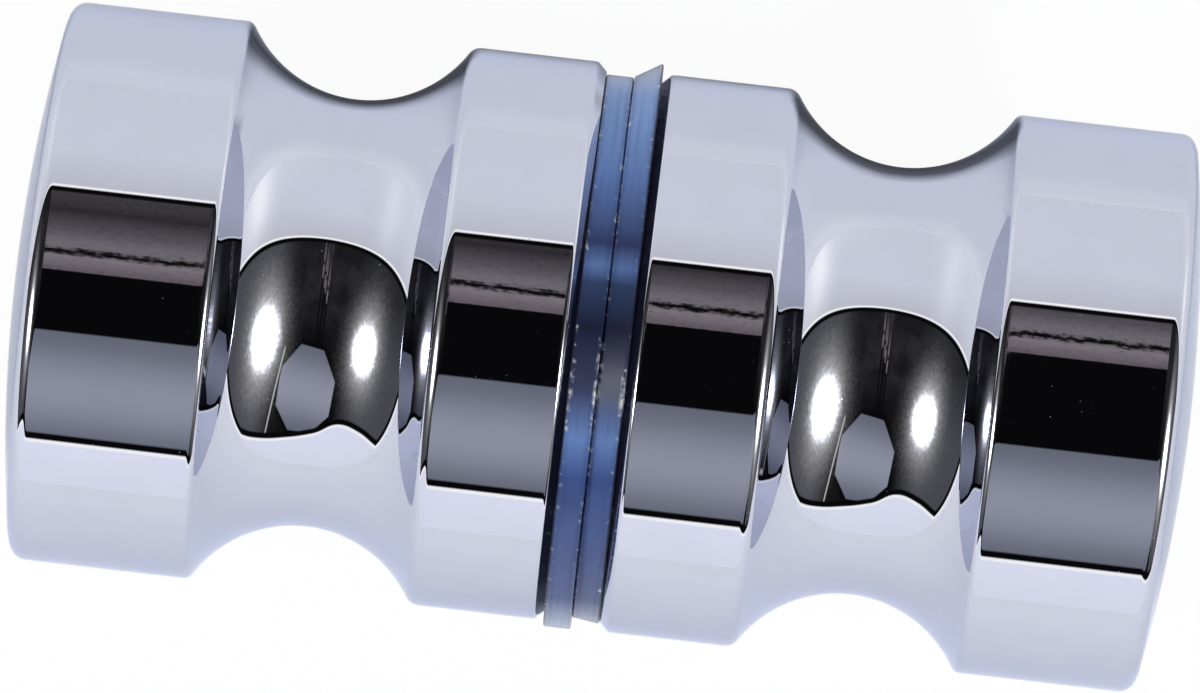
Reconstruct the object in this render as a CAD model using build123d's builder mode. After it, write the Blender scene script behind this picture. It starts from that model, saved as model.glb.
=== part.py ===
"""Back-to-back knob for a glass door, lying along X with the plane of the glass at the origin.

Two turned knobs screw onto one stud and clamp the glass between two clear washers. They are
screwed up with no glass in place, so the washers meet face to face. What is loose has settled
a little to one side along Y, within the play that it has on the stud.
"""

import math
import os

from build123d import *

# Driving dimensions, in millimetres.

# Turned knob, outwards from the seat that presses on its washer.
KNOB_DIAMETER = 30.0
SEAT_CHAMFER = 0.5
BASE_LENGTH = 7.2
GROOVE_WIDTH = 11.9
WAIST_DIAMETER = 23.0
BASE_EDGE_RADIUS = 0.8
HEAD_EDGE_RADIUS = 0.5
HEAD_LENGTH = 9.5
RIM_RADIUS = 0.85
DOME_RISE = 1.4

# Stud, and the blind hole that it screws into.
STUD_DIAMETER = 6.0
STUD_LENGTH = 36.0
STUD_CHAMFER = 0.8
THREAD_PLAY = 0.2
THREAD_CONTACT_GAP = 0.07
HOLE_END_GAP = 0.8
HOLE_COUNTERSINK = 0.6
DRILL_POINT_ANGLE = 118.0

# Washers, against the knob's rim: one is a plain disc, the other is squeezed out at its knob.
WASHER_THICKNESS = 1.5
WASHER_HOLE_PLAY = 0.5
WASHER_CONTACT_GAP = 0.15
PLAIN_WASHER_INSET = 0.15
PLAIN_WASHER_CHAMFER = 0.2
FLARED_WASHER_INSET = 0.45
FLARED_WASHER_OVERHANG = 0.1

# Sizes that follow from the driving dimensions.
knob_radius = KNOB_DIAMETER / 2
head_start = BASE_LENGTH + GROOVE_WIDTH
head_end = head_start + HEAD_LENGTH
groove_depth = (KNOB_DIAMETER - WAIST_DIAMETER) / 2
groove_radius = (GROOVE_WIDTH**2 / 4 + groove_depth**2) / (2 * groove_depth)
dome_radius = (knob_radius**2 + DOME_RISE**2) / (2 * DOME_RISE)

stud_radius = STUD_DIAMETER / 2
hole_radius = stud_radius + THREAD_PLAY
hole_depth = STUD_LENGTH / 2 - WASHER_THICKNESS + HOLE_END_GAP
drill_point = hole_radius / math.tan(math.radians(DRILL_POINT_ANGLE / 2))
washer_hole_radius = stud_radius + WASHER_HOLE_PLAY
plain_washer_radius = knob_radius - PLAIN_WASHER_INSET
flared_washer_glass_radius = knob_radius - FLARED_WASHER_INSET
flared_washer_knob_radius = knob_radius + FLARED_WASHER_OVERHANG

knob_shift = THREAD_PLAY - THREAD_CONTACT_GAP
washer_shift = WASHER_HOLE_PLAY - WASHER_CONTACT_GAP


def outline_corners(section):
    """The section's corners on the knob's full diameter, from the seat outwards."""
    return section.vertices().group_by(Axis.Y)[-1].sort_by(Axis.X)


def turned_knob(side, shift):
    """One knob on the given side of the glass, +1 or -1 along X, with its seat on the washer."""
    seat = Plane(origin=(side * WASHER_THICKNESS, shift, 0), x_dir=(side, 0, 0), z_dir=(0, 0, 1))
    turning_axis = Axis(seat.origin, seat.x_dir)
    with BuildPart() as knob:
        with BuildSketch(seat) as section:
            with BuildLine():
                Polyline((head_end + DOME_RISE, 0), (0, 0), (0, knob_radius), (BASE_LENGTH, knob_radius))
                RadiusArc((BASE_LENGTH, knob_radius), (head_start, knob_radius), -groove_radius)
                Line((head_start, knob_radius), (head_end, knob_radius))
                RadiusArc((head_end, knob_radius), (head_end + DOME_RISE, 0), dome_radius)
            make_face()
            fillet(outline_corners(section)[-1], RIM_RADIUS)
            fillet(outline_corners(section)[2], HEAD_EDGE_RADIUS)
            fillet(outline_corners(section)[1], BASE_EDGE_RADIUS)
            chamfer(outline_corners(section)[0], SEAT_CHAMFER)
        revolve(axis=turning_axis)

        with BuildSketch(seat):
            with BuildLine():
                Polyline(
                    (0, 0),
                    (0, hole_radius + HOLE_COUNTERSINK),
                    (HOLE_COUNTERSINK, hole_radius),
                    (hole_depth, hole_radius),
                    (hole_depth + drill_point, 0),
                    close=True,
                )
            make_face()
        revolve(axis=turning_axis, mode=Mode.SUBTRACT)
    return knob


os.makedirs("parts", exist_ok=True)

# The two knobs are one turned form, one on each side of the glass.
outer_knob = turned_knob(-1, knob_shift)
outer_knob.part.label = "outer_knob"
export_step(outer_knob.part, "parts/outer_knob.step")

inner_knob = turned_knob(1, -knob_shift)
inner_knob.part.label = "inner_knob"
export_step(inner_knob.part, "parts/inner_knob.step")

# The stud passes through both washers and reaches the same way into each knob.
with BuildPart() as joining_stud:
    with BuildSketch(Plane.YZ.offset(-STUD_LENGTH / 2)):
        Circle(stud_radius)
    extrude(amount=STUD_LENGTH)
    chamfer(joining_stud.edges().filter_by(GeomType.CIRCLE), STUD_CHAMFER)
joining_stud.part.label = "joining_stud"
export_step(joining_stud.part, "parts/joining_stud.step")

# The plain washer has dropped off centre as far as its hole lets it.
with BuildPart() as outer_washer:
    with BuildSketch(Plane.YZ.offset(-WASHER_THICKNESS)):
        with Locations((-washer_shift, 0)):
            Circle(plain_washer_radius)
            Circle(washer_hole_radius, mode=Mode.SUBTRACT)
    extrude(amount=WASHER_THICKNESS)
    chamfer(
        outer_washer.faces().sort_by(Axis.X)[0].outer_wire().edges(),
        PLAIN_WASHER_CHAMFER,
    )
outer_washer.part.label = "outer_washer"
export_step(outer_washer.part, "parts/outer_washer.step")

# The flared washer leans the other way: only its face on the knob has moved off centre.
with BuildPart() as inner_washer:
    with BuildSketch(Plane.YZ):
        Circle(flared_washer_glass_radius)
    with BuildSketch(Plane.YZ.offset(WASHER_THICKNESS)):
        with Locations((washer_shift, 0)):
            Circle(flared_washer_knob_radius)
    loft()
    with BuildSketch(Plane.YZ):
        with Locations((washer_shift / 2, 0)):
            Circle(washer_hole_radius)
    extrude(amount=WASHER_THICKNESS, mode=Mode.SUBTRACT)
inner_washer.part.label = "inner_washer"
export_step(inner_washer.part, "parts/inner_washer.step")
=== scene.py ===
"""Looks of a back-to-back knob for a glass door: polished chrome, clear vinyl washers, plated stud.

The knob lies on a white sheet inside a light tent, and the camera looks straight down on it through
the tent's open top, beside two lamps and an unlit soft box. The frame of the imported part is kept:
metres, the stud's axis along X, +Z up.
"""

import math
from types import SimpleNamespace

import bpy
from mathutils import Matrix, Vector


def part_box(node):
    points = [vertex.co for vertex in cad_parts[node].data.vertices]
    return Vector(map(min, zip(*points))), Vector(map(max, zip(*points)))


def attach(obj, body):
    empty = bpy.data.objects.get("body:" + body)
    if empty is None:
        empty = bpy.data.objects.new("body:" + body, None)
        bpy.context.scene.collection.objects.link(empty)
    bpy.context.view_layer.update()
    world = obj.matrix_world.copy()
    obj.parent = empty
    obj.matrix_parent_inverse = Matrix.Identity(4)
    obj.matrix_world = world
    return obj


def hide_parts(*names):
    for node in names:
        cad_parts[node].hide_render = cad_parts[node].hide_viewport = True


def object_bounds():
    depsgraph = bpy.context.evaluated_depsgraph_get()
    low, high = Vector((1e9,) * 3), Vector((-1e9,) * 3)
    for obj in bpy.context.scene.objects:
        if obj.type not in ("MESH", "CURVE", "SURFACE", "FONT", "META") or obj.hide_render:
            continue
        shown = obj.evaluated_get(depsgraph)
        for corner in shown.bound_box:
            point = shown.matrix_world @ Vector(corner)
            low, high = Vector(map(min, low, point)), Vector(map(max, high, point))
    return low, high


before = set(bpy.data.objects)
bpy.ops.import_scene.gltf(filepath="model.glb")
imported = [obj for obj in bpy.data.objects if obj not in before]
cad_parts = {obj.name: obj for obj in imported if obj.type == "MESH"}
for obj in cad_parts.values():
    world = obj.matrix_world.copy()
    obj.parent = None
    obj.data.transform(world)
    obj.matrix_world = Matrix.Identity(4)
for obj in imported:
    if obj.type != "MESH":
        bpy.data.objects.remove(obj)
cad_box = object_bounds()
scene = bpy.context.scene

MM = 0.001
DEGREES = 180 / math.pi
QUARTER_TURN = math.pi / 2
KNOB_AXIS = Vector((1, 0, 0))
ACROSS_KNOB = Vector((0, 1, 0))
UPRIGHT = Vector((0, 0, 1))

# Camera of the photograph: straight above, with the stud's axis turned in the picture.
CAMERA_DISTANCE = 514 * MM
CAMERA_ASIDE = 3.2 * MM
CAMERA_LENS = 288.3
CAMERA_SENSOR = 36.0
PICTURE_CENTRE = Vector((-0.18 * MM, 0, 0))
AXIS_TURN = math.radians(6.6)
IMAGE_RIGHT = Vector((math.cos(AXIS_TURN), math.sin(AXIS_TURN), 0))
IMAGE_UP = Vector((-math.sin(AXIS_TURN), math.cos(AXIS_TURN), 0))

# Turned knob, outwards from its seat on the washer; its overall sizes come from the frame.
SEAT_CHAMFER = 0.5 * MM
CHAMFER_SOFTNESS = 0.25 * MM
BASE_LENGTH = 7.2 * MM
BASE_EDGE_RADIUS = 0.8 * MM
GROOVE_WIDTH = 11.9 * MM
GROOVE_DEPTH = 3.5 * MM
HEAD_EDGE_RADIUS = 0.5 * MM
RIM_RADIUS = 0.85 * MM
DOME_RISE = 1.4 * MM
HOLE_RADIUS = 3.2 * MM
HOLE_DEPTH = 17.3 * MM
HOLE_COUNTERSINK = 0.6 * MM
DRILL_POINT = 1.92 * MM
KNOB_SEGMENTS = 256

# Thread of the stud.
THREAD_PITCH = 1.0 * MM
THREAD_DEPTH = 0.61 * MM
THREAD_CREST = 0.125
THREAD_ROWS_PER_PITCH = 8
STUD_CHAMFER = 0.8 * MM
STUD_SEGMENTS = 48

# Washers: one is a plain disc that has dropped, the other flares out towards its knob.
WASHER_HOLE_RADIUS = 3.5 * MM
WASHER_EDGE_RADIUS = 0.12 * MM
WASHER_FACE_GAP = 0.015 * MM
WASHER_SEGMENTS = 256
PLAIN_WASHER_RADIUS = 14.85 * MM
FLARED_WASHER_GLASS_RADIUS = 14.55 * MM
FLARED_WASHER_KNOB_RADIUS = 15.1 * MM
WASHER_SHIFT = 0.35 * MM

# Profiles: a straight longer than the least run gets points, two of them close to its ends.
LEAST_RUN = 0.2 * MM
RUN_MARGIN = 0.06 * MM
SAME_POINT = 1e-7
SHARP_ANGLE = math.radians(30)

# Chrome, as linear light, and the share that it mirrors at a glancing angle. Finishes are in millimetres.
CHROME = (0.60, 0.615, 0.70)
CHROME_GLANCING = (0.80, 0.84, 0.95)
CHROME_UNEVENNESS = (0.96, 1.04)
CHROME_ROUGHNESS = 0.004
HAZE_ROUGHNESS = 0.014
SPECK_ROUGHNESS = 0.35
SPECK_SIZE = 0.06
SPECK_SCALE = 1.7

# Vinyl: its tint by millimetres up the picture, with painted reflections of the surroundings, painted shade
# lower down, and the stud and the hole painted where they show through it.
VINYL_REACH = 16
VINYL_TINT_AND_PAINTED_LIGHT = (
    (-12.7, (0.094, 0.125, 0.25)), (-7, (0.048, 0.085, 0.24)), (-4.9, (0.118, 0.198, 0.434)),
    (-2.4, (0.04, 0.048, 0.10)), (1, (0.012, 0.013, 0.035)), (3.3, (0.03, 0.05, 0.115)),
    (4.2, (0.092, 0.158, 0.355)), (5.4, (0.025, 0.039, 0.11)), (8.5, (0.094, 0.16, 0.37)),
    (12.3, (0.19, 0.305, 0.58)),
)
# Painted sheen on the rim near the top and bottom of the picture.
VINYL_PAINTED_SHEEN = (0.36, 0.42, 0.56)
VINYL_PAINTED_SHEEN_START = 14.2
VINYL_DARK = (0.015, 0.02, 0.06)
VINYL_CLEARNESS = 0.25
VINYL_CLEARNESS_OF_MIDDLE = 0.35
VINYL_CLEARNESS_OF_STREAKS = 0.8
VINYL_STREAKS = (6, 0.3)
# Painted glints: white base colour standing for lamp highlights on the edges; the coat there is real gloss.
VINYL_PAINTED_GLINT = (0.80, 0.82, 0.86)
VINYL_PAINTED_GLINT_SHARE = 0.8
VINYL_GLINT_ROUGHNESS = 0.08
VINYL_ROUGHNESS = 0.25
VINYL_SPECULAR = 0.08
VINYL_MIRRORING = 0.35
VINYL_MIRRORING_START = 7
# More painted glints lie in one stretch, also by millimetres up the picture.
PAINTED_SPARKLE_SPAN = (-4, -1)
PAINTED_SPARKLE_LIFT = 0.17
PAINTED_SPARKLE_START = 0.68
# From the washers' meeting face, 0, to each knob's seat, 1.
WASHER_THICKNESS = 1.5
VINYL_MIDDLE = (0.12, 0.85)
VINYL_WITHIN_EDGES = (0.08, 0.86)
# Painted shade on the face against each knob's seat.
VINYL_SEAT_SHADE = (0.012, 0.014, 0.03)
VINYL_SEAT_SHADE_START = 0.94

# White sheet, with painted light falloff: its colour in front of the knob, darker just behind it as painted
# shade, paler farther back and at the sides.
SHEET_HALF = 1500 * MM
SHEET_NEAR = (0.955, 0.97, 1.0)
SHEET_PAINTED_SHADE_BEHIND = (0.80, 0.81, 0.85)
SHEET_BACK = (0.90, 0.91, 0.945)
SHEET_SIDES = (0.97, 0.975, 1.0)
SHEET_FADE = 250
SHEET_BACK_START = 110
SHEET_BACK_FADE = 100
SHEET_SIDES_START = 130
# Behind each groove a painted shadow stands for the shadow of both ends of the knob.
GROOVE_SHADE = 0.82
GROOVE_SHADE_SPAN = (10.5, 18.5)
GROOVE_SHADE_REACH = (4, 24)
# The share of plain white where the camera sees the sheet, and where metal or vinyl shows it.
SHEET_GLOW_SEEN = 0.95
SHEET_GLOW_MIRRORED = 0.04
WHITE = (1, 1, 1)
UNLIT = (0, 0, 0)


def linear(*srgb):
    """A colour written as three 8-bit display values, as linear light."""
    shares = [level / 255 for level in srgb]
    return tuple(s / 12.92 if s <= 0.04045 else ((s + 0.055) / 1.055) ** 2.4 for s in shares)


def mirrored(*srgb):
    """The light that the chrome has to mirror to show these 8-bit display values."""
    return tuple(light / tint for light, tint in zip(linear(*srgb), CHROME))


# Plated steel of the stud.
PLATED_DARK = linear(176, 174, 166)
PLATED_PALE = linear(206, 204, 198)
PLATED_ROUGHNESS = 0.25
PLATED_GRAIN_ROUGHNESS = 0.2

# What the chrome mirrors of the tent and of the room above it.
TENT = mirrored(196, 199, 215)
TENT_BY_OPENING = mirrored(182, 184, 196)
TENT_NEAR = mirrored(214, 217, 237)
TENT_BY_SHEET = mirrored(195, 198, 214)
TENT_BY_SHEET_SIDES = mirrored(203, 206, 221)
TENT_NEAR_BY_SHEET = mirrored(209, 213, 231)
TENT_GLOWS = (
    ((76, 37), mirrored(236, 238, 247)),
    ((-49, 62), mirrored(213, 216, 229)),
)
TENT_GLOW_SPREAD = (11, 20)
TENT_HEM = mirrored(238, 239, 244)
ROOM = mirrored(17, 17, 20)
ROOM_CLOUD = mirrored(38, 38, 43)
ROOM_SIDES = mirrored(70, 71, 78)
BOX_EDGE = mirrored(99, 102, 117)
BOX_MIDDLE = mirrored(138, 141, 158)
STAND = mirrored(176, 176, 180)
BLACK = mirrored(8, 8, 10)
LAMP = (44.0, 44.0, 44.0)
LAMP_SPREAD = 0.55
LAMP_GLOW = mirrored(205, 204, 207)
LAMP_GLOW_SPREAD = (1.2, 1.6)
LAMP_GRAIN = (0.6, 0.8)

# Where these are, in degrees to the right of the camera and up from it.
OPENING_TOP_RISE = 0.815
OPENING_TOP_LEAN = -0.085
OPENING_LOWEST = 0.03
OPENING_FOOT = (
    (-100, -44), (-72, -51), (-54, -52.5), (-34, -55.5), (-10, -68), (18, -73.5), (42, -72), (63, -65),
    (80, -56), (100, -42),
)
FOOT_SPAN = 100.0
FOOT_FLATNESS = 0.6
HEM_WIDTH = 1.0
OPENING_EDGE_WIDTH = 2.0
TENT_BY_OPENING_WIDTH = 8
CLOUD_UP = (-5, 35)
CLOUD_RIGHT = (-40, 30)
CLOUD_BY_CAMERA = 7.0
CLOUD_BY_CAMERA_ROLL = (14, 46)
ROOM_SIDES_START = 38
RIGHT_SIDE_DIMMING = 0.5
LEFT_SIDE_DIMMING = 0.75
LAMPS = (((46.2, -21.0), (11.8, 14.5)), ((-43.6, -11.5), (10.3, 12.0)))
BOX_CENTRE = (1.9, -43.9)
BOX_HALF = (24.6, 24.4)
BOX_SURROUND = 1.12
STAND_TOP = (26.0, -23.0)
STAND_FOOT = (33.0, -70.0)
STAND_HALF = 0.6
STAND_SURROUND_HALF = 1.8

# What the cylinders mirror just beside the camera: a wall, a torn edge, then black, by degrees of roll.
WALL_SLIDE = 2.3
WALL_LOW = 12.2
WALL_HIGH = 48.0
WALL_TEAR = 20.2
WALL_TEAR_HALF = 1.15
WALL_TEAR_RAGGEDNESS = 9
WALL_SOFTNESS = 0.4
WALL_SHARE = 0.95
WALL_MOTTLE = 1.2
WALL_GRAIN = (40, 0.5)
WALL_STOPS = (
    (13, (98, 90, 98)), (18, (122, 115, 124)), (24.5, (106, 102, 110)), (29, (84, 80, 88)),
    (34.5, (60, 57, 63)), (37, (44, 41, 48)), (40, (56, 53, 59)), (48, (66, 63, 69)),
)


class Value:
    """A socket of a node tree. Arithmetic on it adds Math nodes."""

    def __init__(self, graph, socket):
        self.graph = graph
        self.socket = socket

    def __add__(self, other):
        return self.graph.math("ADD", self, other)

    def __sub__(self, other):
        return self.graph.math("SUBTRACT", self, other)

    def __rsub__(self, other):
        return self.graph.math("SUBTRACT", other, self)

    def __mul__(self, other):
        return self.graph.math("MULTIPLY", self, other)

    def __truediv__(self, other):
        return self.graph.math("DIVIDE", self, other)

    def __pow__(self, other):
        return self.graph.math("POWER", self, other)

    def __neg__(self):
        return self * -1

    def __abs__(self):
        return self.graph.math("ABSOLUTE", self)

    __radd__ = __add__
    __rmul__ = __mul__


class Graph:
    """The nodes of one finish."""

    def __init__(self, tree):
        tree.nodes.clear()
        self.tree = tree

    def node(self, kind, settings=None, inputs=None, output=0):
        """Adds a node: its settings first, then the values or links of its sockets."""
        made = self.tree.nodes.new("ShaderNode" + kind)
        for name, setting in (settings or {}).items():
            if name == "stops":
                self.set_stops(made.color_ramp, setting)
            elif name == "points":
                self.set_points(made.mapping, setting)
            else:
                setattr(made, name, setting)
        for key, value in (inputs or {}).items():
            socket = made.inputs[key]
            if isinstance(value, Value):
                self.tree.links.new(value.socket, socket)
            elif socket.type == "RGBA":
                socket.default_value = (*value, 1)
            else:
                socket.default_value = value
        return Value(self, made.outputs[output]) if made.outputs else None

    @staticmethod
    def set_stops(ramp, stops):
        """Gives a colour ramp its stops, as pairs of place and colour."""
        while len(ramp.elements) > 1:
            ramp.elements.remove(ramp.elements[-1])
        for index, (place, colour) in enumerate(stops):
            element = ramp.elements[0] if index == 0 else ramp.elements.new(place)
            element.position = place
            element.color = (*colour, 1)

    @staticmethod
    def set_points(mapping, points):
        """Gives a float curve its points, as pairs of place and height."""
        curve = mapping.curves[0]
        for place, height in points[1:-1]:
            curve.points.new(place, height)
        for point, (place, height) in zip(curve.points, points):
            point.location = (place, height)
        mapping.update()

    def math(self, operation, *operands, clamp=False):
        """Adds one Math node."""
        return self.node("Math", {"operation": operation, "use_clamp": clamp}, dict(enumerate(operands)))

    def largest(self, first, *others):
        """The largest of several values."""
        for other in others:
            first = self.math("MAXIMUM", first, other)
        return first

    def rise(self, value, edge, softness):
        """0 below an edge and 1 above it, over a soft width."""
        return self.math("MULTIPLY_ADD", value, 1 / softness, 0.5 - edge / softness, clamp=True)

    def fall(self, value, edge, softness):
        """1 below an edge and 0 above it, over a soft width."""
        return self.rise(value, edge, -softness)

    def band(self, value, low, high, softness):
        """1 between two edges and 0 outside them."""
        return self.rise(value, low, softness) * self.fall(value, high, softness)

    def mix(self, factor, first, second):
        """A colour between two colours."""
        return self.node("Mix", {"data_type": "RGBA"}, {0: factor, 6: first, 7: second}, 2)

    def dot(self, vector, axis):
        """How far a vector goes along an axis."""
        return self.node("VectorMath", {"operation": "DOT_PRODUCT"}, {0: vector, 1: axis}, "Value")

    def vector(self, x, y, z):
        """A vector of three values."""
        return self.node("CombineXYZ", inputs={"X": x, "Y": y, "Z": z})

    def noise(self, vector, scale, detail=2.0):
        """Cloudy noise about 0.5."""
        inputs = {"Vector": vector, "Scale": scale, "Detail": detail}
        return self.node("TexNoise", inputs=inputs, output="Fac")

    def surface(self, shader):
        """Joins a shader to the material's output."""
        self.node("OutputMaterial", inputs={"Surface": shader})


def new_material(name):
    """A material, its empty graph and the place on the part, in millimetres."""
    material = bpy.data.materials.new(name)
    material.use_nodes = True
    graph = Graph(material.node_tree)
    place = graph.node("TexCoord", output="Object")
    place = graph.node("VectorMath", {"operation": "SCALE"}, {0: place, "Scale": 1 / MM})
    return material, graph, place


def chrome_finish():
    """Polished chrome: a clear mirror with faint haze and a few dull specks."""
    material, g, place = new_material("polished_chrome")
    haze = g.noise(place, scale=0.4, detail=4.0)
    from_speck = g.node("TexVoronoi", inputs={"Vector": place, "Scale": SPECK_SCALE}, output="Distance")
    patchy = g.rise(g.noise(place, scale=0.35), edge=0.52, softness=0.1)
    specks = g.fall(from_speck, SPECK_SIZE, softness=0.04) * patchy
    colour = g.mix(haze, *([share * tint for tint in CHROME] for share in CHROME_UNEVENNESS))
    roughness = CHROME_ROUGHNESS + HAZE_ROUGHNESS * haze + SPECK_ROUGHNESS * specks
    g.surface(g.node("BsdfPrincipled", inputs={
        "Base Color": colour, "Metallic": 1.0, "Specular Tint": CHROME_GLANCING, "Roughness": roughness,
    }))
    return material


def vinyl_finish():
    """Soft clear vinyl: blue, painted dark where the stud shows through it, with painted reflections, shade
    and glints, and glossy edges.
    """
    material, g, place = new_material("clear_vinyl")
    height = g.dot(place, ACROSS_KNOB)
    depth = abs(g.dot(place, KNOB_AXIS)) / WASHER_THICKNESS
    span = 2 * VINYL_REACH
    # Painted light: the ramp holds the tint with painted reflections, painted shade lower down and the stud
    # and hole as seen through it.
    stops = [(0.5 + place_up / span, tint) for place_up, tint in VINYL_TINT_AND_PAINTED_LIGHT]
    colour = g.node("ValToRGB", {"stops": stops}, {"Fac": 0.5 + height / span})
    # Painted sheen near the top and bottom of the rim.
    colour = g.mix(g.rise(abs(height), VINYL_PAINTED_SHEEN_START, softness=1.5), colour, VINYL_PAINTED_SHEEN)
    streaks = g.vector(VINYL_STREAKS[0] * depth, VINYL_STREAKS[1] * height, 0)
    streaks = g.noise(streaks, scale=1.0, detail=3.0)
    middle = g.band(depth, *VINYL_MIDDLE, softness=0.3)
    clearness = VINYL_CLEARNESS + VINYL_CLEARNESS_OF_MIDDLE * middle + VINYL_CLEARNESS_OF_STREAKS * streaks
    colour = g.mix(clearness, VINYL_DARK, colour)
    edges = 1 - g.band(depth, *VINYL_WITHIN_EDGES, softness=0.14)
    # Painted highlights: white glints on the edges and along one stretch, where the coat also goes.
    painted_sparkle = g.noise(place, scale=2.5, detail=3.0) + PAINTED_SPARKLE_LIFT * g.band(height, *PAINTED_SPARKLE_SPAN, softness=3)
    painted_glints = edges * g.rise(painted_sparkle, PAINTED_SPARKLE_START, softness=0.2)
    colour = g.mix(VINYL_PAINTED_GLINT_SHARE * painted_glints, colour, VINYL_PAINTED_GLINT)
    # Painted shade where the washer's face meets the knob's seat.
    colour = g.mix(g.rise(depth, VINYL_SEAT_SHADE_START, softness=0.06), colour, VINYL_SEAT_SHADE)
    mirroring = VINYL_MIRRORING * g.rise(abs(height), VINYL_MIRRORING_START, softness=4)
    g.surface(g.node("BsdfPrincipled", inputs={
        "Base Color": colour, "Roughness": VINYL_ROUGHNESS, "Metallic": mirroring,
        "Specular IOR Level": VINYL_SPECULAR, "Coat Weight": painted_glints, "Coat Roughness": VINYL_GLINT_ROUGHNESS,
    }))
    return material


def plated_finish():
    """Plain plated steel of the thread."""
    material, g, place = new_material("plated_steel")
    grain = g.noise(place, scale=0.9, detail=4.0)
    colour = g.mix(grain, PLATED_DARK, PLATED_PALE)
    roughness = PLATED_ROUGHNESS + PLATED_GRAIN_ROUGHNESS * grain
    g.surface(g.node("BsdfPrincipled", inputs={
        "Base Color": colour, "Metallic": 1.0, "Roughness": roughness,
    }))
    return material


def sheet_finish():
    """The white sheet: it glows to white where it is seen, keeps the knob's shadow, and carries painted shade
    behind the knob and each groove.
    """
    material, g, place = new_material("white_sheet")
    backward = g.dot(place, IMAGE_UP)
    # Painted light falloff: darker just behind the knob, paler farther back and at the sides.
    colour = g.mix(g.rise(backward, 0, SHEET_FADE), SHEET_NEAR, SHEET_PAINTED_SHADE_BEHIND)
    colour = g.mix(g.rise(backward, SHEET_BACK_START, SHEET_BACK_FADE), colour, SHEET_BACK)
    sides = g.rise(abs(g.dot(place, IMAGE_RIGHT)), SHEET_SIDES_START, softness=SHEET_SIDES_START)
    colour = g.mix(sides, colour, SHEET_SIDES)
    # Painted shadow behind each groove.
    shade = g.band(abs(g.dot(place, KNOB_AXIS)), *GROOVE_SHADE_SPAN, softness=5)
    shade = shade * g.band(backward, *GROOVE_SHADE_REACH, softness=8)
    colour = g.mix(GROOVE_SHADE * shade, colour, UNLIT)
    camera, glossy, transmission = (
        g.node("LightPath", output=ray) for ray in ("Is Camera Ray", "Is Glossy Ray", "Is Transmission Ray")
    )
    glow = SHEET_GLOW_SEEN * camera + SHEET_GLOW_MIRRORED * g.largest(glossy, transmission)
    paper = g.node("BsdfPrincipled", inputs={
        "Base Color": colour, "Roughness": 1.0, "Specular IOR Level": 0.0,
    })
    white = g.node("Emission", inputs={"Color": WHITE, "Strength": 1.0})
    g.surface(g.node("MixShader", inputs={0: glow, 1: paper, 2: white}))
    return material


def sky_of(g):
    """Where a direction points: degrees right and up from the camera, and about the knob's axis."""
    direction = g.node("TexCoord", output="Generated")
    across, upward, facing = (g.dot(direction, axis) for axis in (IMAGE_RIGHT, IMAGE_UP, UPRIGHT))
    off_axis = (across * across + upward * upward) ** 0.5
    from_camera = g.math("ARCTAN2", off_axis, facing) * DEGREES
    return SimpleNamespace(
        direction=direction, across=across, upward=upward, facing=facing,
        right=across / off_axis * from_camera,
        up=upward / off_axis * from_camera,
        turn=g.math("ARCSINE", g.dot(direction, KNOB_AXIS)) * DEGREES,
        roll=g.math("ARCTAN2", g.dot(direction, ACROSS_KNOB), facing) * DEGREES,
    )


def room_above(g, sky):
    """The dark room over the opening, with a cloudy patch and grey at the sides."""
    cloud = g.rise(g.noise(sky.direction, scale=5.0, detail=4.0), edge=0.45, softness=0.4)
    cloud = cloud * g.band(sky.up, *CLOUD_UP, softness=14) * g.band(sky.right, *CLOUD_RIGHT, softness=30)
    by_camera = g.math("EXPONENT", -(sky.turn * sky.turn) / CLOUD_BY_CAMERA**2)
    by_camera = by_camera * g.band(sky.roll, *CLOUD_BY_CAMERA_ROLL, softness=8)
    colour = g.mix(g.largest(cloud, by_camera), ROOM, ROOM_CLOUD)
    # Each side darkens upwards.
    right_side = g.rise(sky.right, ROOM_SIDES_START, softness=18)
    right_side = right_side * (1 - RIGHT_SIDE_DIMMING * g.rise(sky.up, edge=20, softness=40))
    left_side = g.rise(-sky.right, ROOM_SIDES_START, softness=22)
    left_side = left_side * (1 - LEFT_SIDE_DIMMING * g.rise(sky.up, edge=0, softness=30))
    return g.mix(right_side + left_side, colour, ROOM_SIDES)


def cylinder_windows(g, sky):
    """1 in the four narrow turns about the camera that the knobs' cylinders mirror, and their middles."""
    low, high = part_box("inner_knob")
    lift = CAMERA_DISTANCE - high.z
    base = (low.x, low.x + BASE_LENGTH)
    head = (low.x + BASE_LENGTH + GROOVE_WIDTH, high.x - DOME_RISE)
    windows, middles = 0, 0
    for place in (base, head, (-base[1], -base[0]), (-head[1], -head[0])):
        edges = [math.atan((x - CAMERA_ASIDE) / lift) * DEGREES for x in place]
        window = g.band(sky.turn, *edges, softness=0.1)
        windows = window + windows
        middles = window * (sum(edges) / 2) + middles
    return windows, middles


def wall_by_camera(g, sky, windows, middles, colour):
    """The pinkish wall with its torn edge, and the black beside it, seen only in the cylinders."""
    slid = sky.roll - WALL_SLIDE * middles
    span = WALL_HIGH - WALL_LOW
    stops = [((place - WALL_LOW) / span, mirrored(*levels)) for place, levels in WALL_STOPS]
    wall = g.node("ValToRGB", {"stops": stops}, {"Fac": (slid - WALL_LOW) / span})
    grain = g.vector(WALL_GRAIN[0] * sky.turn, WALL_GRAIN[1] * slid, 0)
    ragged = g.noise(grain, scale=1.0, detail=5.0) - 0.5
    wall = g.mix(WALL_SHARE + WALL_MOTTLE * ragged, BLACK, wall)
    tear = WALL_TEAR_HALF + WALL_TEAR_RAGGEDNESS * ragged - abs(slid - WALL_TEAR)
    wall = g.mix(g.rise(tear, 0, WALL_SOFTNESS), wall, BLACK)
    wall = g.mix(g.fall(slid + ragged, WALL_LOW, WALL_SOFTNESS), wall, BLACK)
    return g.mix(windows, colour, wall)


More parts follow.
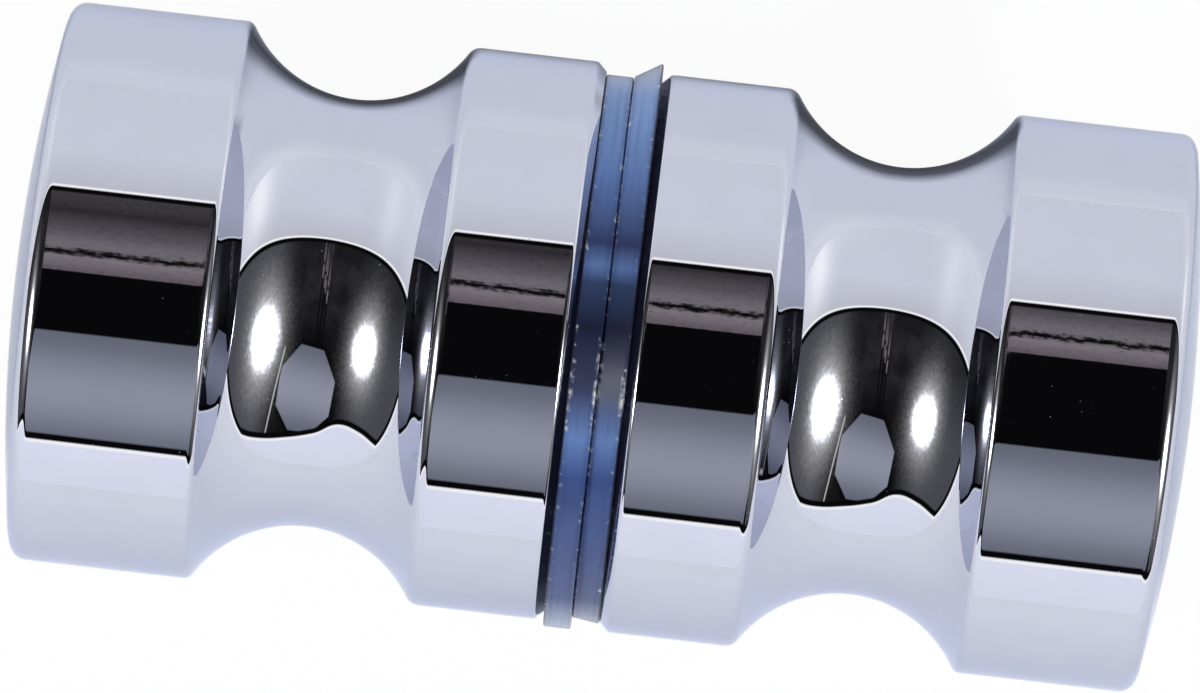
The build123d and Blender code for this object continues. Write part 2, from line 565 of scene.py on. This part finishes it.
def soft_box(g, sky, colour):
    """The unlit eight-sided soft box, with black round it and its stand beside it."""
    aside = (sky.right - BOX_CENTRE[0]) / BOX_HALF[0]
    above = (sky.up - BOX_CENTRE[1]) / BOX_HALF[1]
    slant = 2 ** -0.5
    reach = g.largest(abs(aside), abs(above), abs(aside + above) * slant, abs(aside - above) * slant)
    middle = 1 - g.math("MULTIPLY", above, above, clamp=True)
    cloth = g.mix(middle * middle, BOX_EDGE, BOX_MIDDLE)
    colour = g.mix(g.fall(reach, BOX_SURROUND, softness=0.14), colour, BLACK)
    colour = g.mix(g.fall(reach, 1.0, softness=0.03), colour, cloth)
    lean = (STAND_FOOT[0] - STAND_TOP[0]) / (STAND_FOOT[1] - STAND_TOP[1])
    beside = abs(sky.right - STAND_TOP[0] - lean * (sky.up - STAND_TOP[1]))
    stretch = g.band(sky.up, STAND_FOOT[1], STAND_TOP[1], softness=2)
    colour = g.mix(stretch * g.fall(beside, STAND_SURROUND_HALF, softness=1.0), colour, BLACK)
    return g.mix(stretch * g.fall(beside, STAND_HALF, softness=0.8), colour, STAND)


def lamps(g, sky, colour):
    """The two lamps, each in its own uneven glow."""
    grain = LAMP_GRAIN[0] + LAMP_GRAIN[1] * g.noise(sky.direction, scale=28.0, detail=4.0)
    for (lamp_right, lamp_up), (half_right, half_up) in LAMPS:
        beside = (sky.right - lamp_right) / half_right
        above = (sky.up - lamp_up) / half_up
        beside, above = beside * beside, above * above
        glow = beside / LAMP_GLOW_SPREAD[0] ** 2 + above / LAMP_GLOW_SPREAD[1] ** 2
        core = (beside + above) / LAMP_SPREAD**2
        colour = g.mix(g.math("EXPONENT", -glow * grain), colour, LAMP_GLOW)
        colour = g.mix(g.math("EXPONENT", -core * grain), colour, LAMP)
    return colour


def tent_round(g, sky, colour):
    """The tent round its opening, with a bright hem, a black edge inside it and paler side walls."""
    over_top = sky.upward - OPENING_TOP_RISE * sky.facing - OPENING_TOP_LEAN * sky.across
    over_top = over_top * (DEGREES / math.hypot(1, OPENING_TOP_RISE))
    # A float curve goes from 0 to 1 both ways, so the degrees are brought to that and back.
    foot_points = [
        (0.5 + place / (2 * FOOT_SPAN), 1 + height / FOOT_SPAN) for place, height in OPENING_FOOT
    ]
    foot = g.node("FloatCurve", {"points": foot_points}, {"Value": 0.5 + sky.right / (2 * FOOT_SPAN)})
    under_foot = (foot - 1) * FOOT_SPAN - sky.up
    over_side = (OPENING_LOWEST - sky.facing) * DEGREES
    outside = g.largest(over_top, FOOT_FLATNESS * under_foot, over_side)
    tent = g.mix(g.rise(outside, TENT_BY_OPENING_WIDTH, softness=16), TENT_BY_OPENING, TENT)
    near = g.fall(sky.upward, edge=0, softness=0.2)
    by_sheet = g.mix(g.rise(abs(sky.across), edge=0.45, softness=0.6), TENT_BY_SHEET, TENT_BY_SHEET_SIDES)
    by_sheet = g.mix(near, by_sheet, TENT_NEAR_BY_SHEET)
    tent = g.mix(near, tent, TENT_NEAR)
    tent = g.mix(g.fall(sky.facing, edge=0.17, softness=0.34), tent, by_sheet)
    for (glow_right, glow_up), glow in TENT_GLOWS:
        beside = (sky.right - glow_right) / TENT_GLOW_SPREAD[0]
        above = (sky.up - glow_up) / TENT_GLOW_SPREAD[1]
        tent = g.mix(g.math("EXPONENT", -(beside * beside + above * above)), tent, glow)
    tent = g.mix(g.fall(outside, HEM_WIDTH, softness=0.5), tent, TENT_HEM)
    colour = g.mix(g.rise(outside, -OPENING_EDGE_WIDTH, softness=0.6), colour, BLACK)
    return g.mix(g.rise(outside, edge=0, softness=0.5), colour, tent)


def light_tent():
    """The world: a white tent all round, open above, with what stands beside the camera there."""
    world = bpy.data.worlds.new("light_tent")
    scene.world = world
    world.use_nodes = True
    g = Graph(world.node_tree)
    sky = sky_of(g)
    windows, middles = cylinder_windows(g, sky)
    colour = room_above(g, sky)
    colour = wall_by_camera(g, sky, windows, middles, colour)
    colour = soft_box(g, sky, colour)
    colour = lamps(g, sky, colour)
    colour = tent_round(g, sky, colour)
    seen = g.node("LightPath", output="Is Camera Ray")
    colour = g.mix(seen, colour, WHITE)
    background = g.node("Background", inputs={"Color": colour, "Strength": 1.0})
    g.node("OutputWorld", inputs={"Surface": background})


def add_piece(name, points, faces, material):
    """A smooth mesh object with sharp corners kept."""
    mesh = bpy.data.meshes.new(name)
    mesh.from_pydata(points, [], faces)
    mesh.materials.append(material)
    piece = bpy.data.objects.new(name, mesh)
    scene.collection.objects.link(piece)
    mesh.polygons.foreach_set("use_smooth", [True] * len(mesh.polygons))
    mesh.set_sharp_from_angle(angle=SHARP_ANGLE)
    return piece


def spun(name, profile, place, segments, material, closed=False):
    """Turns a profile of (axial, radius) points; place says where each point goes at an angle.

    A point on the axis is one vertex. A closed profile makes a ring.
    """
    points, rows = [], []
    for axial, radius in profile:
        count = segments if radius > 0 else 1
        rows.append([len(points) + index for index in range(count)])
        points += [place(axial, radius, 2 * math.pi * index / segments) for index in range(count)]
    faces = []
    for near, far in zip(rows, rows[1:] + rows[:1] if closed else rows[1:]):
        for index in range(segments):
            after = (index + 1) % segments
            corners = [near[index % len(near)], near[after % len(near)]]
            corners += [far[after % len(far)], far[index % len(far)]]
            faces.append(list(dict.fromkeys(corners)))
    return add_piece(name, points, faces, material)


def dress(piece, node):
    """Makes a piece ride on the part in place of a node of the solids."""
    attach(piece, "root")
    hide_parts(node)


def arc(centre, radius, start, end, steps):
    """Points on an arc of a profile, between two angles in radians."""
    turns = [start + (end - start) * step / steps for step in range(steps + 1)]
    return [(centre[0] + radius * math.cos(turn), centre[1] + radius * math.sin(turn)) for turn in turns]


def run(start, end, steps=4):
    """Points strictly between two profile points, one close to each end so that the run shades flat."""
    margin = RUN_MARGIN / math.dist(start, end)
    shares = [margin] + [step / steps for step in range(1, steps)] + [1 - margin]
    return [(start[0] + (end[0] - start[0]) * s, start[1] + (end[1] - start[1]) * s) for s in shares]


def joined(stretches):
    """One profile from stretches of points, with straight runs between them."""
    profile = list(stretches[0])
    for stretch in stretches[1:]:
        if math.dist(profile[-1], stretch[0]) > LEAST_RUN:
            profile += run(profile[-1], stretch[0])
        profile += stretch if math.dist(profile[-1], stretch[0]) > SAME_POINT else stretch[1:]
    return profile


def knob_profile(radius, length):
    """The knob's section from the bottom of its blind hole round to the crown of its dome."""
    groove_radius = (GROOVE_WIDTH**2 / 4 + GROOVE_DEPTH**2) / (2 * GROOVE_DEPTH)
    groove_centre = (BASE_LENGTH + GROOVE_WIDTH / 2, radius - GROOVE_DEPTH + groove_radius)

    def groove_edge(edge_radius):
        drop = groove_centre[1] - radius + edge_radius
        reach = math.sqrt((groove_radius + edge_radius) ** 2 - drop**2)
        return reach, math.atan2(drop, reach)

    base_reach, base_angle = groove_edge(BASE_EDGE_RADIUS)
    head_reach, head_angle = groove_edge(HEAD_EDGE_RADIUS)
    base_edge = (groove_centre[0] - base_reach, radius - BASE_EDGE_RADIUS)
    head_edge = (groove_centre[0] + head_reach, radius - HEAD_EDGE_RADIUS)
    groove_start = 2 * QUARTER_TURN + base_angle
    groove_end = 4 * QUARTER_TURN - head_angle

    dome_radius = (radius**2 + DOME_RISE**2) / (2 * DOME_RISE)
    dome_centre = (length - dome_radius, 0)
    rim_height = radius - RIM_RADIUS
    rim_reach = math.sqrt((dome_radius - RIM_RADIUS) ** 2 - rim_height**2)
    rim_angle = math.atan2(rim_height, rim_reach)
    rim_centre = (dome_centre[0] + rim_reach, rim_height)

    # The chamfer meets the cylinder in a soft corner of half a quarter turn.
    soft_tangent = CHAMFER_SOFTNESS * math.tan(QUARTER_TURN / 4)
    chamfer_corner = (SEAT_CHAMFER + soft_tangent, radius - CHAMFER_SOFTNESS)

    return joined([
        [(HOLE_DEPTH + DRILL_POINT, 0)],
        [(HOLE_DEPTH, HOLE_RADIUS)],
        [(HOLE_COUNTERSINK, HOLE_RADIUS)],
        [(0, HOLE_RADIUS + HOLE_COUNTERSINK)],
        [(0, radius - SEAT_CHAMFER)],
        arc(chamfer_corner, CHAMFER_SOFTNESS, 1.5 * QUARTER_TURN, QUARTER_TURN, steps=6),
        arc(base_edge, BASE_EDGE_RADIUS, QUARTER_TURN, base_angle, steps=14),
        arc(groove_centre, groove_radius, groove_start, groove_end, steps=48),
        arc(head_edge, HEAD_EDGE_RADIUS, 2 * QUARTER_TURN - head_angle, QUARTER_TURN, steps=12),
        arc(rim_centre, RIM_RADIUS, QUARTER_TURN, rim_angle, steps=14),
        arc(dome_centre, dome_radius, rim_angle, 0, steps=20)[:-1],
        [(length, 0)],
    ])


def make_knob(node, side, material):
    """One chromed knob on its side of the glass."""
    low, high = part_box(node)
    radius = (high.z - low.z) / 2
    seat = low.x if side > 0 else high.x
    middle = (low.y + high.y) / 2

    def place(axial, reach, angle):
        return (seat + side * axial, middle + reach * math.cos(angle), side * reach * math.sin(angle))

    knob = spun("chrome_" + node, knob_profile(radius, high.x - low.x), place, KNOB_SEGMENTS, material)
    dress(knob, node)


def make_washer(node, side, glass_radius, knob_radius, glass_shift, knob_shift, material):
    """One soft washer, whose rim may lean from its face on the glass to its face on the knob."""
    low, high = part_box(node)
    thickness = high.x - low.x - 2 * WASHER_FACE_GAP
    edge = WASHER_EDGE_RADIUS
    hole_edge = WASHER_HOLE_RADIUS + edge

    def rim(axial):
        return glass_radius + (knob_radius - glass_radius) * axial / thickness

    profile = joined([
        arc((edge, hole_edge), edge, 2 * QUARTER_TURN, 3 * QUARTER_TURN, steps=4),
        arc((thickness - edge, hole_edge), edge, -QUARTER_TURN, 0, steps=4),
        arc((thickness - edge, rim(thickness - edge) - edge), edge, 0, QUARTER_TURN, steps=5),
        arc((edge, rim(edge) - edge), edge, QUARTER_TURN, 2 * QUARTER_TURN, steps=5),
    ])
    profile += run(profile[-1], profile[0])

    def place(axial, reach, angle):
        shift = glass_shift + (knob_shift - glass_shift) * axial / thickness
        along = side * (WASHER_FACE_GAP + axial)
        return (along, shift + reach * math.cos(angle), side * reach * math.sin(angle))

    washer = spun("vinyl_" + node, profile, place, WASHER_SEGMENTS, material, closed=True)
    dress(washer, node)


def make_stud(node, material):
    """The stud with its thread cut as a helix."""
    low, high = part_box(node)
    radius = (high.z - low.z) / 2
    length = high.x - low.x
    rows = round(length / THREAD_PITCH * THREAD_ROWS_PER_PITCH)

    def place(axial, reach, angle):
        phase = (axial / THREAD_PITCH - angle / (2 * math.pi)) % 1
        flank = min(max((abs(2 * phase - 1) - THREAD_CREST) / (1 - 2 * THREAD_CREST), 0), 1)
        chamfer = radius - STUD_CHAMFER + min(axial, length - axial)
        threaded = min(reach - THREAD_DEPTH * flank, chamfer) if reach > 0 else 0
        return (low.x + axial, threaded * math.cos(angle), threaded * math.sin(angle))

    profile = [(0, 0)] + [(length * row / rows, radius) for row in range(rows + 1)] + [(length, 0)]
    dress(spun("threaded_" + node, profile, place, STUD_SEGMENTS, material), node)


def make_sheet():
    """The white sheet under the knob."""
    height = cad_box[0].z
    corners = [(x * SHEET_HALF, y * SHEET_HALF, height) for x, y in ((-1, -1), (1, -1), (1, 1), (-1, 1))]
    add_piece("white_sheet", corners, [(0, 1, 2, 3)], sheet_finish())


def make_camera():
    """The photograph's camera, straight above and turned to the picture's upright."""
    data = bpy.data.cameras.new("camera")
    data.lens = CAMERA_LENS
    data.sensor_width = CAMERA_SENSOR
    camera = bpy.data.objects.new("camera", data)
    scene.collection.objects.link(camera)
    stand = Vector((CAMERA_ASIDE, 0, CAMERA_DISTANCE))
    back = (stand - PICTURE_CENTRE).normalized()
    right = (IMAGE_RIGHT - back * IMAGE_RIGHT.dot(back)).normalized()
    turn = Matrix((right, back.cross(right), back)).transposed()
    camera.matrix_world = Matrix.Translation(stand) @ turn.to_4x4()
    scene.camera = camera


chrome = chrome_finish()
vinyl = vinyl_finish()
make_knob("outer_knob", -1, chrome)
make_knob("inner_knob", 1, chrome)
make_washer("outer_washer", -1, PLAIN_WASHER_RADIUS, PLAIN_WASHER_RADIUS, -WASHER_SHIFT, -WASHER_SHIFT, vinyl)
make_washer("inner_washer", 1, FLARED_WASHER_GLASS_RADIUS, FLARED_WASHER_KNOB_RADIUS, 0, WASHER_SHIFT, vinyl)
make_stud("joining_stud", plated_finish())
make_sheet()
light_tent()
make_camera()
scene.view_settings.view_transform = "Standard"
